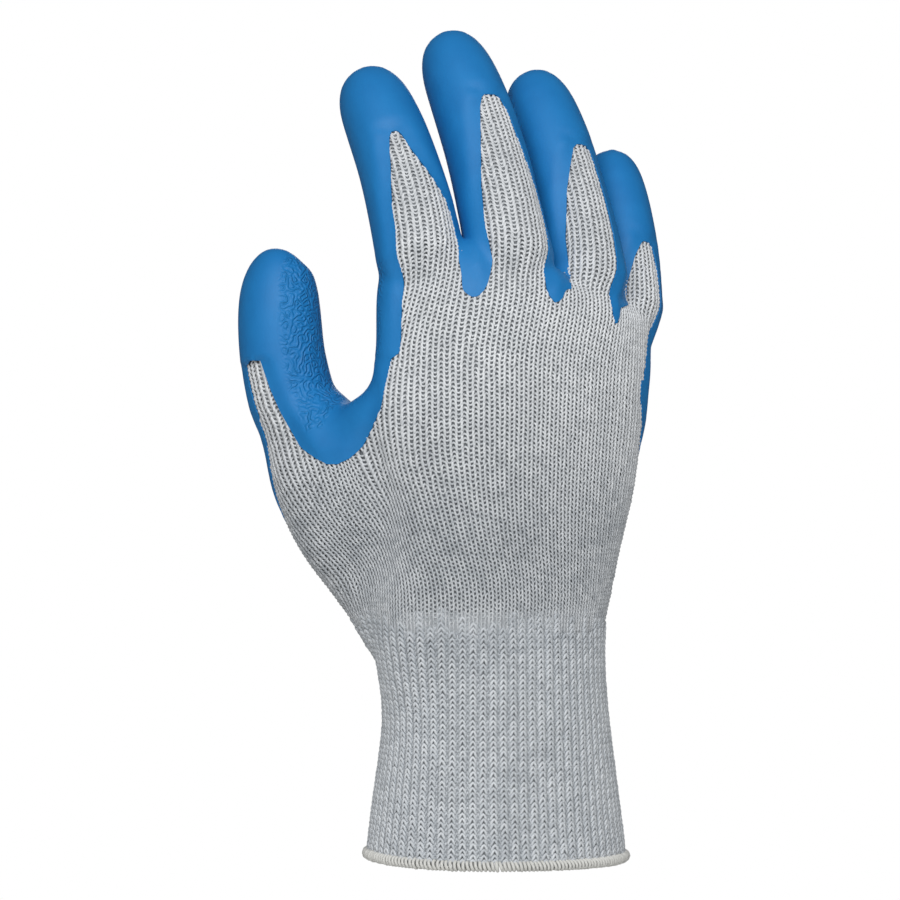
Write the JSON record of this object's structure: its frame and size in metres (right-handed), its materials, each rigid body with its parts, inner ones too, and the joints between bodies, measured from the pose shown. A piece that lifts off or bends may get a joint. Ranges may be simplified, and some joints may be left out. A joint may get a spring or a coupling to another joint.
{
  "type": "latex coated grip glove",
  "caption": "Right-hand knitted work glove with a ribbed cuff and a latex dipped palm, fingers and thumb, shaped as worn with the fingers gently curled.",
  "frame": {"origin": "centre of the wrist opening, in the plane of the hem", "axes": "+Z from the hem towards the fingertips, +X towards the little finger, -Y out of the back of the hand, +Y out of the palm"},
  "size_m": [0.1223, 0.076, 0.2479],
  "materials": {
    "knit": "ten gauge plain knit of grey cotton and polyester yarn",
    "hem_thread": "off-white overcast edge thread",
    "latex": "matte blue dipped natural rubber, crinkled on the palm side"
  },
  "bodies": {
    "root": {"knit_hand": "knit", "knit_wrist": "knit", "thumb_stall": "knit", "index_stall": "knit", "middle_stall": "knit", "ring_stall": "knit", "little_stall": "knit", "cuff_hem": "hem_thread", "latex_coat": "latex"}
  },
  "joints": []
}
